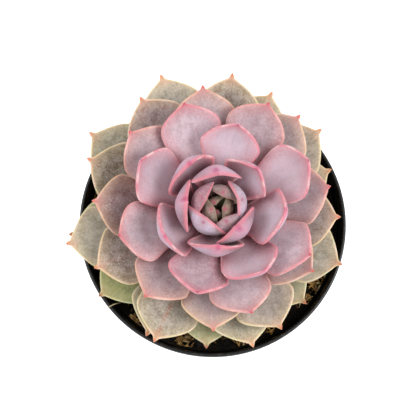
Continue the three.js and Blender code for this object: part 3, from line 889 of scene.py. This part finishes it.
def add_rosette():
    skins = [leaf_material(index) for index in range(len(GROUPS))]
    leaves = {age: leaf(age) for age in range(TIP_LEAF, LEAVES)}
    for age, gap in cover_gaps(leaves).items():
        leaves[age][2]["gap"] = gap
    points, faces, values = joined([leaves[age] for age in range(TIP_LEAF, HEART_LEAVES)])
    mesh_piece("heart_leaves", points, faces, skins[0], "heart", values)
    for age in range(HEART_LEAVES, LEAVES):
        points, faces, values = leaves[age]
        index = group_of(age)
        node = f"leaf_{age:02d}"
        mesh_piece("fleshy_" + node, points, faces, skins[index], node, values)


# Turned bodies: stem, pot and soil

def round_corners(outline, reach):
    """The outline with all corners but its two ends rounded by curves that start reach before them."""
    outline = [np.array(p, float) for p in outline]
    made = [outline[0]]
    for before, corner, after in zip(outline, outline[1:], outline[2:]):
        back, ahead = np.linalg.norm(before - corner), np.linalg.norm(after - corner)
        cut = min(reach, MOST_CUT * back, MOST_CUT * ahead)
        a = corner + (before - corner) * cut / back
        b = corner + (after - corner) * cut / ahead
        for u in np.linspace(0, 1, ROUNDING_STEPS + 1):
            made.append((1 - u) ** 2 * a + 2 * u * (1 - u) * corner + u ** 2 * b)
    made.append(outline[-1])
    return np.array(made)


def turned(outline, segments):
    """A closed body turned about Z, whose outline starts and ends on the axis."""
    inner = outline[1:-1]
    angle = np.linspace(0, 2 * math.pi, segments, endpoint=False)
    ring = np.stack([np.cos(angle), np.sin(angle)], -1)
    heights = np.broadcast_to(inner[:, None, 1:2], (len(inner), segments, 1))
    walls = np.concatenate([inner[:, None, 0:1] * ring[None], heights], -1).reshape(-1, 3)
    points = np.concatenate([walls, [[0, 0, outline[0][1]], [0, 0, outline[-1][1]]]])
    first, last = len(walls), len(walls) + 1
    top = (len(inner) - 1) * segments
    faces = tube_faces(len(inner), segments)
    faces += [[(i + 1) % segments, i, first] for i in range(segments)]
    faces += [[top + i, top + (i + 1) % segments, last] for i in range(segments)]
    return points, faces


def wall_radius(z):
    """Outside radius of the pot's wall, from its foot to the underside of the collar."""
    share = (z - FOOT_BEVEL) / (POT_HEIGHT - COLLAR_HEIGHT - FOOT_BEVEL)
    return lerp(FOOT_RADIUS, RIM_RADIUS - RIM_THICKNESS - COLLAR_STEP, share)


def pot_outline():
    """Half the pot's section: up its outside, over the rolled lip and down its inside."""
    collar = POT_HEIGHT - COLLAR_HEIGHT
    shoulder = wall_radius(collar)
    lip = RIM_THICKNESS / 2
    skirt = RIM_RADIUS - lip
    under_lip = POT_HEIGHT - LIP_HEIGHT
    outside = round_corners([
        [0, 0], [FOOT_RADIUS - FOOT_BEVEL, 0], [FOOT_RADIUS, FOOT_BEVEL], [shoulder, collar - CORNER],
        [skirt - CORNER, collar + CORNER], [skirt, under_lip - CORNER], [RIM_RADIUS, under_lip],
        [RIM_RADIUS, POT_HEIGHT - lip],
    ], OUTSIDE_ROUNDING)
    turn = np.linspace(0, math.pi, LIP_STEPS + 1)[1:, None]
    roll = np.concatenate([skirt + lip * np.cos(turn), POT_HEIGHT - lip + lip * np.sin(turn)], -1)
    inside = round_corners([
        roll[-1], [skirt - WALL, under_lip - CORNER], [skirt - CORNER - WALL, collar + CORNER],
        [shoulder - WALL, collar - CORNER], [wall_radius(FLOOR) - WALL, FLOOR], [0, FLOOR],
    ], INSIDE_ROUNDING)
    return np.concatenate([outside, roll[:-1], inside])


def box(centre, size, angle):
    """Points and faces of a box round centre, then turned about Z."""
    corners = np.array([[x, y, z] for x in (-1, 1) for y in (-1, 1) for z in (-1, 1)]) * np.array(size) / 2
    faces = [[0, 1, 3, 2], [4, 6, 7, 5], [0, 4, 5, 1], [2, 3, 7, 6], [0, 2, 6, 4], [1, 5, 7, 3]]
    return spun(corners + centre, angle), faces, {}


def carved(points, faces, cutters):
    """The body with the cutters taken out, as points and faces."""
    body = bpy.data.objects.new("body", bpy.data.meshes.new("body"))
    body.data.from_pydata(points.tolist(), [], faces)
    tool = bpy.data.objects.new("tool", bpy.data.meshes.new("tool"))
    cut_points, cut_faces, _ = joined(cutters)
    tool.data.from_pydata(cut_points.tolist(), [], cut_faces)
    for made in (body, tool):
        bpy.context.scene.collection.objects.link(made)
    cut = body.modifiers.new("slots", "BOOLEAN")
    cut.object = tool
    cut.solver = "EXACT"
    mesh = body.evaluated_get(bpy.context.evaluated_depsgraph_get()).to_mesh()
    new_points = np.array([v.co for v in mesh.vertices])
    new_faces = [list(polygon.vertices) for polygon in mesh.polygons]
    for made in (body, tool):
        bpy.data.objects.remove(made)
    return new_points, new_faces


PLASTIC = ("0f0f10", "1b1b1d")
PLASTIC_GRAIN = {"Pore Scale": 1.4, "Pore Height": 0.5, "Wave Scale": 0.05, "Wave Height": 1.0}
PLASTIC_RELIEF = 0.08
PLASTIC_ROUGHNESS = 0.36
DUST = "6f665c"
DUST_SPECKS = {"Scale": 0.7, "Amount": 0.22}
DUST_ROUGHNESS = 0.7


def black_plastic(graph):
    """Moulded plastic with a faint grain and some dust of dried soil."""
    spot = place(graph)
    grain = placed(graph, GRAIN, {"Place": spot, **PLASTIC_GRAIN})
    dust = placed(graph, SPECKS, {"Place": spot, **DUST_SPECKS})["Mask"]
    colour = graph.mix(grain["Mask"], paint(PLASTIC[0]), paint(PLASTIC[1]))
    colour = graph.mix(dust, colour, paint(DUST))
    rough = graph.plus(PLASTIC_ROUGHNESS, graph.times(dust, DUST_ROUGHNESS))
    relief = bumped(graph, grain["Height"], PLASTIC_RELIEF)
    return {"Base Color": colour, "Roughness": rough, "Normal": relief}


def add_pot():
    points, faces = turned(pot_outline(), POT_SEGMENTS)
    centre = (FOOT_RADIUS - DRAIN_DEPTH / 2 + FOOT_BEVEL, 0, 0)
    size = (DRAIN_DEPTH, DRAIN_WIDTH, 2 * DRAIN_RISE)
    slots = [box(centre, size, (slot + 0.5) * 2 * math.pi / DRAIN_SLOTS) for slot in range(DRAIN_SLOTS)]
    points, faces = carved(points, faces, slots)
    plastic = material("black pot plastic", {"IOR": 1.5}, black_plastic)
    mesh_piece("nursery_pot", points, faces, plastic, "pot")


CORK = ("5d4a33", "8f8463")
CORK_NOISE = (0.5, 4.0, 0.65)
CORK_STRETCH = (1, 1, 2.5)
CORK_WINDOW = (0.35, 0.65)
CORK_GRAIN = {"Pore Scale": 1.6, "Pore Height": 0.8, "Wave Scale": 0.4, "Wave Height": 1.0}
CORK_RELIEF = 0.3


def stem_skin(graph):
    """The corky skin of an old stem, with flat bands of brown and grey green."""
    spot = place(graph)
    bands = graph.noise(graph.stretched(spot, CORK_STRETCH), *CORK_NOISE)
    grain = placed(graph, GRAIN, {"Place": spot, **CORK_GRAIN})
    colour = graph.mix(graph.step(bands, *CORK_WINDOW), paint(CORK[0]), paint(CORK[1]))
    return {"Base Color": colour, "Normal": bumped(graph, grain["Height"], CORK_RELIEF)}


def add_stem():
    top = attach_height(STEM_AGES[-1])
    outline = [[0, STEM_ROOT_Z], [STEM_RADIUS[-1], STEM_ROOT_Z]]
    outline += [[at_age(STEM_RADIUS, age), attach_height(age)] for age in STEM_AGES]
    outline.append([0, top])
    outline = round_corners(outline, STEM_ROUNDING)
    heights = np.linspace(STEM_ROOT_Z, top, STEM_RINGS)
    radii = np.interp(heights, outline[1:-1, 1], outline[1:-1, 0])
    rings = np.concatenate([[[0, STEM_ROOT_Z]], np.stack([radii, heights], -1), [[0, top]]])
    points, faces = turned(rings, STEM_SEGMENTS)
    angle = np.arctan2(points[:, 1], points[:, 0])
    scars = np.prod([np.sin(count * angle + turn * points[:, 2]) for count, turn in SCAR_WAVES], axis=0)
    shrinkage = 1 - SCAR_DEPTH * (1 + scars)
    axis = np.array([stem_axis(z) for z in points[:, 2]])
    points[:, :2] = points[:, :2] * shrinkage[:, None] + axis
    skin = material("stem skin", {"Roughness": 0.8}, stem_skin)
    mesh_piece("crown_stem", points, faces, skin, "stem")


def winding_waves(x, y, waves):
    """The heights of a wave along X and of one along Y."""
    (rate_x, wind_x, turn_x), (rate_y, wind_y, turn_y) = waves
    along_x = np.sin(rate_x * x + wind_x * np.sin(turn_x * y))
    along_y = np.sin(rate_y * y + wind_y * np.sin(turn_y * x))
    return along_x, along_y


def soil_height(x, y):
    """Height of the soil: a low mound with a lumpy top."""
    radius = np.hypot(x, y) / RIM_RADIUS
    along_x, along_y = winding_waves(x, y, LUMP_WAVES)
    return SOIL_EDGE + SOIL_MOUND * (1 - radius ** 2) + SOIL_RELIEF * (along_x + along_y)


PEAT = ("070504", "1e170f")
PEAT_NOISE = (0.9, 5.0, 0.7)
PEAT_WINDOW = (0.35, 0.7)
PEAT_RELIEF = 0.8
CHAFF = "7d6238"
CHAFF_NOISE = (2.2, 4.0, 0.7)
CHAFF_STRETCH = (1, 0.5, 1)
CHAFF_WINDOW = (0.62, 0.74)
CHAFF_PATCH_NOISE = (0.12, 3.0, 0.5)
CHAFF_PATCH_WINDOW = (0.4, 0.6)


def dark_soil(graph):
    """Dark crumbly peat with patches of golden chaff."""
    spot = place(graph)
    crumbs = graph.noise(spot, *PEAT_NOISE)
    chaff = graph.step(graph.noise(graph.stretched(spot, CHAFF_STRETCH), *CHAFF_NOISE), *CHAFF_WINDOW)
    patch = graph.step(graph.noise(spot, *CHAFF_PATCH_NOISE), *CHAFF_PATCH_WINDOW)
    colour = graph.mix(graph.step(crumbs, *PEAT_WINDOW), paint(PEAT[0]), paint(PEAT[1]))
    colour = graph.mix(graph.times(chaff, patch), colour, paint(CHAFF))
    return {"Base Color": colour, "Normal": bumped(graph, crumbs, PEAT_RELIEF)}


def add_soil():
    collar = POT_HEIGHT - COLLAR_HEIGHT
    edge = RIM_RADIUS - RIM_THICKNESS / 2 - CORNER - WALL - GAP
    foot = wall_radius(FLOOR) - WALL - GAP
    under = wall_radius(collar) - WALL - GAP
    outline = [[0, FLOOR + GAP], [foot, FLOOR + GAP], [under, collar - CORNER], [edge, collar + CORNER]]
    outline += [[edge * share, SOIL_EDGE] for share in np.linspace(1, 0, SOIL_RINGS)]
    points, faces = turned(np.array(outline), SOIL_SEGMENTS)
    top = points[:, 2] > SOIL_EDGE - GAP
    x, y = points[top, 0], points[top, 1]
    along_x, along_y = winding_waves(x, y, CRUST_WAVES)
    points[top, 2] = soil_height(x, y) + SOIL_CRUST * along_x * along_y
    peat = material("dark potting soil", {"Roughness": 0.95, "Specular IOR Level": 0.25}, dark_soil)
    mesh_piece("potting_soil", points, faces, peat, "soil")


# Litter on the soil

# Each lump and fibre has a tint of its own from 0 to 1, and windows of it pick its colour.
BARK = ("17100b", "85602f")
BARK_WINDOW = (0.5, 0.95)
GRIT = "c9bda2"
GRIT_WINDOW = (0.93, 0.97)
BARK_GRAIN = "120c08"
BARK_GRAIN_STRENGTH = 0.55
BARK_NOISE = (1.4, 4.0, 0.7)
BARK_STRETCH = (1, 2.5, 1)
BARK_RELIEF = 0.4
STRAW = ("6f4f26", "cc9c54")
STRAW_WINDOW = (0.1, 0.75)
PALE_STRAW = "f2deb0"
PALE_STRAW_WINDOW = (0.8, 1.0)
STRAW_GRAIN = "4a3418"
STRAW_GRAIN_STRENGTH = 0.25
STRAW_NOISE = (2.0, 3.0, 0.6)
STRAW_RELIEF = 0.1


def bark_skin(graph):
    """Bark from dark to tan, with some pale grit."""
    tint = graph.attribute("tint")
    grain = graph.noise(graph.stretched(place(graph), BARK_STRETCH), *BARK_NOISE)
    colour = graph.mix(graph.step(tint, *BARK_WINDOW), paint(BARK[0]), paint(BARK[1]))
    colour = graph.mix(graph.step(tint, *GRIT_WINDOW), colour, paint(GRIT))
    colour = graph.mix(graph.times(grain, BARK_GRAIN_STRENGTH), colour, paint(BARK_GRAIN))
    return {"Base Color": colour, "Normal": bumped(graph, grain, BARK_RELIEF)}


def straw_skin(graph):
    """Coir and straw from brown to pale gold."""
    tint = graph.attribute("tint")
    grain = graph.noise(place(graph), *STRAW_NOISE)
    colour = graph.mix(graph.step(tint, *STRAW_WINDOW), paint(STRAW[0]), paint(STRAW[1]))
    colour = graph.mix(graph.step(tint, *PALE_STRAW_WINDOW), colour, paint(PALE_STRAW))
    colour = graph.mix(graph.times(grain, STRAW_GRAIN_STRENGTH), colour, paint(STRAW_GRAIN))
    return {"Base Color": colour, "Normal": bumped(graph, grain, STRAW_RELIEF)}


def seeded_draws(seed, count):
    """The first draws of the small seeded generator that also places the chunks of the solid."""
    word = 0xFFFFFFFF
    draws = []
    for _ in range(count):
        seed = (seed + 0x6D2B79F5) & word
        mixed = ((seed ^ (seed >> 15)) * (seed | 1)) & word
        mixed ^= (mixed + (((mixed ^ (mixed >> 7)) * (mixed | 61)) & word)) & word
        draws.append((mixed ^ (mixed >> 14)) / 2 ** 32)
    return draws


def ball(rings, segments):
    """Points and faces of a ball of radius 1, to be made a stone or a crumb."""
    tilt = np.linspace(0, math.pi, rings + 1)[1:-1]
    angle = np.linspace(0, 2 * math.pi, segments, endpoint=False)
    walls = np.stack([
        np.outer(np.sin(tilt), np.cos(angle)), np.outer(np.sin(tilt), np.sin(angle)),
        np.repeat(np.cos(tilt)[:, None], segments, 1),
    ], -1).reshape(-1, 3)
    points = np.concatenate([walls, [[0, 0, 1], [0, 0, -1]]])
    last = (rings - 2) * segments
    top, bottom = len(walls), len(walls) + 1
    faces = [[a, d, c, b] for a, b, c, d in tube_faces(rings - 1, segments)]
    faces += [[i, (i + 1) % segments, top] for i in range(segments)]
    faces += [[last + (i + 1) % segments, last + i, bottom] for i in range(segments)]
    return points, faces


def lump(draw, size, angle, centre, rings, segments):
    """A rough lump of bark, grit or peat."""
    points, faces = ball(rings, segments)
    knobs = draw.uniform(-1, 1, (LUMP_KNOBS, 3)) * KNOB_TURNS
    knobbly = 1 + KNOB_HEIGHT * np.sin(points @ knobs.T + draw.uniform(0, 6, LUMP_KNOBS)).sum(1)
    points = np.sign(points) * np.abs(points) ** LUMP_SQUARENESS * knobbly[:, None] * size
    return spun(points, angle) + centre, faces, {"tint": np.full(len(points), draw.uniform())}


def add_chunks():
    draw = np.random.default_rng(BARK_SEED)
    parts = []
    for chunk in range(CHUNKS):
        spread, scale, length, breadth, angle = seeded_draws(CHUNK_SEED + chunk, 6)[1:]
        radius = lerp(*CHUNK_RING, math.sqrt(spread))
        size = lerp(*CHUNK_SIZE, scale ** 2)
        x, y = radius * math.cos(chunk * CHUNK_TURN), radius * math.sin(chunk * CHUNK_TURN)
        shape = size * np.array([1 + length, lerp(*CHUNK_BREADTH, breadth), CHUNK_FLATNESS])
        centre = [x, y, soil_height(x, y) + CHUNK_RISE * size]
        parts.append(lump(draw, shape * CHUNK_SHRINKAGE, angle * math.pi, centre, *CHUNK_FACETS))
    points, faces, values = joined(parts)
    bark = material("bark and grit", {"Roughness": 0.9}, bark_skin)
    mesh_piece("bark_chunks", points, faces, bark, None, values)


def add_crumbs():
    draw = np.random.default_rng(CRUMB_SEED)
    parts = []
    for _ in range(CRUMBS):
        radius = math.sqrt(draw.uniform(LITTER_RING[0] ** 2, LITTER_RING[1] ** 2))
        angle = draw.uniform(0, 2 * math.pi)
        x, y = radius * math.cos(angle), radius * math.sin(angle)
        size = lerp(*CRUMB_SIZE, draw.uniform() ** 3)
        shape = size * draw.uniform(*CRUMB_SHAPE)
        centre = [x, y, soil_height(x, y) + CRUMB_RISE * size]
        parts.append(lump(draw, shape, draw.uniform(0, math.pi), centre, *CRUMB_FACETS))
    points, faces, values = joined(parts)
    peat = material("peat crumbs", {"Roughness": 0.95}, bark_skin)
    mesh_piece("soil_crumbs", points, faces, peat, None, values)


def strand(route, radius, tint):
    """A closed round thread along the route that thins out at both ends."""
    way = np.gradient(route, axis=0)
    way /= np.linalg.norm(way, axis=1)[:, None]
    across = np.cross(way, [0, 0, 1])
    across /= np.linalg.norm(across, axis=1)[:, None]
    raised = np.cross(across, way)
    thinning = lerp(STRAND_END, 1, np.sin(math.pi * np.linspace(*STRAND_SPAN, len(route))))
    angle = np.linspace(0, 2 * math.pi, FIBRE_SIDES, endpoint=False)[None, :, None]
    ring = np.cos(angle) * across[:, None] + np.sin(angle) * raised[:, None]
    points = (route[:, None] + radius * thinning[:, None, None] * ring).reshape(-1, 3)
    last = (len(route) - 1) * FIBRE_SIDES
    faces = tube_faces(len(route), FIBRE_SIDES)
    faces += [list(range(FIBRE_SIDES))[::-1], list(range(last, last + FIBRE_SIDES))]
    return points, faces, {"tint": np.full(len(points), tint)}


def fibre(draw, middle_x, middle_y, spread):
    """One bowed fibre that lies on the soil somewhere in a drift."""
    radius, angle = spread * math.sqrt(draw.uniform()), draw.uniform(0, 2 * math.pi)
    length, heading = draw.uniform(*FIBRE_LENGTH), draw.uniform(0, 2 * math.pi)
    bend = draw.uniform(-FIBRE_BEND, FIBRE_BEND) * length
    share = np.linspace(-0.5, 0.5, FIBRE_STEPS + 1)
    x = middle_x + radius * math.cos(angle)
    y = middle_y + radius * math.sin(angle)
    x = x + share * length * math.cos(heading) - share ** 2 * bend * math.sin(heading)
    y = y + share * length * math.sin(heading) + share ** 2 * bend * math.cos(heading)
    room = LITTER_EDGE / np.maximum(LITTER_EDGE, np.hypot(x, y))
    x, y = x * room, y * room
    thick = draw.uniform(*FIBRE_RADIUS)
    arch = draw.uniform(0, FIBRE_ARCH) * (1 - 4 * share ** 2) ** 2
    route = np.stack([x, y, soil_height(x, y) + thick + arch + FIBRE_RISE], -1)
    return strand(route, thick, draw.uniform())


def lip_straw():
    """The long straw that leans over the pot's lip."""
    u = np.linspace(0, 1, LIP_STRAW_STEPS + 1)[:, None]
    foot, bow, end = np.array(LIP_STRAW)
    return strand((1 - u) ** 2 * foot + 2 * u * (1 - u) * bow + u ** 2 * end, LIP_STRAW_RADIUS, 1.0)


def add_fibres():
    draw = np.random.default_rng(FIBRE_SEED)
    parts = []
    for middle_x, middle_y, spread, count in DRIFTS:
        parts += [fibre(draw, middle_x, middle_y, spread) for _ in range(count)]
    parts.append(lip_straw())
    points, faces, values = joined(parts)
    straw = material("straw and coir", {"Roughness": 0.75}, straw_skin)
    mesh_piece("coir_fibres", points, faces, straw, None, values)


# Stage, light and camera

CAMERA_ELEVATION = 80
CAMERA_LENS = 140
CAMERA_DISTANCE = 650
CAMERA_TARGET = (-1.9, 0, 88)
CAMERA_RAISE = 6.2
SENSOR_WIDTH = 36
STAGE_SIZE = 4
PAPER = ("f7f7f7", "fbfbfb")
PAPER_NOISE = (3.0, 2.0, 0.5)
PAPER_GLOW = 0.95
WORLD_LIGHT = 0.48
LIGHT_SIZE = 400
LIGHT_TARGET = (0, 0, 100)
SOFTBOXES = [("right softbox", (450, -100, 650), 3), ("left softbox", (-450, 100, 650), 2)]


def add_camera():
    rise = math.radians(CAMERA_ELEVATION)
    back = Vector((0, -math.cos(rise), math.sin(rise)))
    up = Vector((0, math.sin(rise), math.cos(rise)))
    camera = bpy.data.objects.new("camera", bpy.data.cameras.new("camera"))
    camera.data.lens = CAMERA_LENS
    camera.data.sensor_width = SENSOR_WIDTH
    camera.location = (Vector(CAMERA_TARGET) + up * CAMERA_RAISE + back * CAMERA_DISTANCE) * MM
    camera.rotation_mode = "QUATERNION"
    camera.rotation_quaternion = (-back).to_track_quat("-Z", "Y")
    bpy.context.scene.collection.objects.link(camera)
    bpy.context.scene.camera = camera


def add_stage():
    floor = bpy.data.objects.new("floor", bpy.data.meshes.new("floor"))
    half = STAGE_SIZE / 2
    corners = [(-half, -half, 0), (half, -half, 0), (half, half, 0), (-half, half, 0)]
    floor.data.from_pydata(corners, [], [[0, 1, 2, 3]])

    def white_paper(graph):
        cloud = graph.noise(graph.node("ShaderNodeTexCoord").outputs["Object"], *PAPER_NOISE)
        tone = graph.mix(cloud, paint(PAPER[0]), paint(PAPER[1]))
        return {"Base Color": tone, "Emission Color": tone}

    glow = {"Roughness": 0.9, "Emission Strength": PAPER_GLOW}
    floor.data.materials.append(material("white paper", glow, white_paper))
    bpy.context.scene.collection.objects.link(floor)


def add_light(name, spot, power):
    lamp = bpy.data.lights.new(name, "AREA")
    lamp.shape = "DISK"
    lamp.size = LIGHT_SIZE * MM
    lamp.energy = power
    light = bpy.data.objects.new(name, lamp)
    light.location = Vector(spot) * MM
    light.rotation_mode = "QUATERNION"
    light.rotation_quaternion = (Vector(LIGHT_TARGET) - Vector(spot)).to_track_quat("-Z", "Y")
    bpy.context.scene.collection.objects.link(light)


def add_lights():
    world = bpy.data.worlds.new("soft studio")
    world.use_nodes = True
    background = world.node_tree.nodes["Background"]
    background.inputs["Color"].default_value = (1, 1, 1, 1)
    background.inputs["Strength"].default_value = WORLD_LIGHT
    bpy.context.scene.world = world
    bpy.context.scene.view_settings.view_transform = "Standard"
    for name, spot, power in SOFTBOXES:
        add_light(name, spot, power)


add_camera()
add_stage()
add_lights()
add_rosette()
add_stem()
add_pot()
add_soil()
add_chunks()
add_crumbs()
add_fibres()
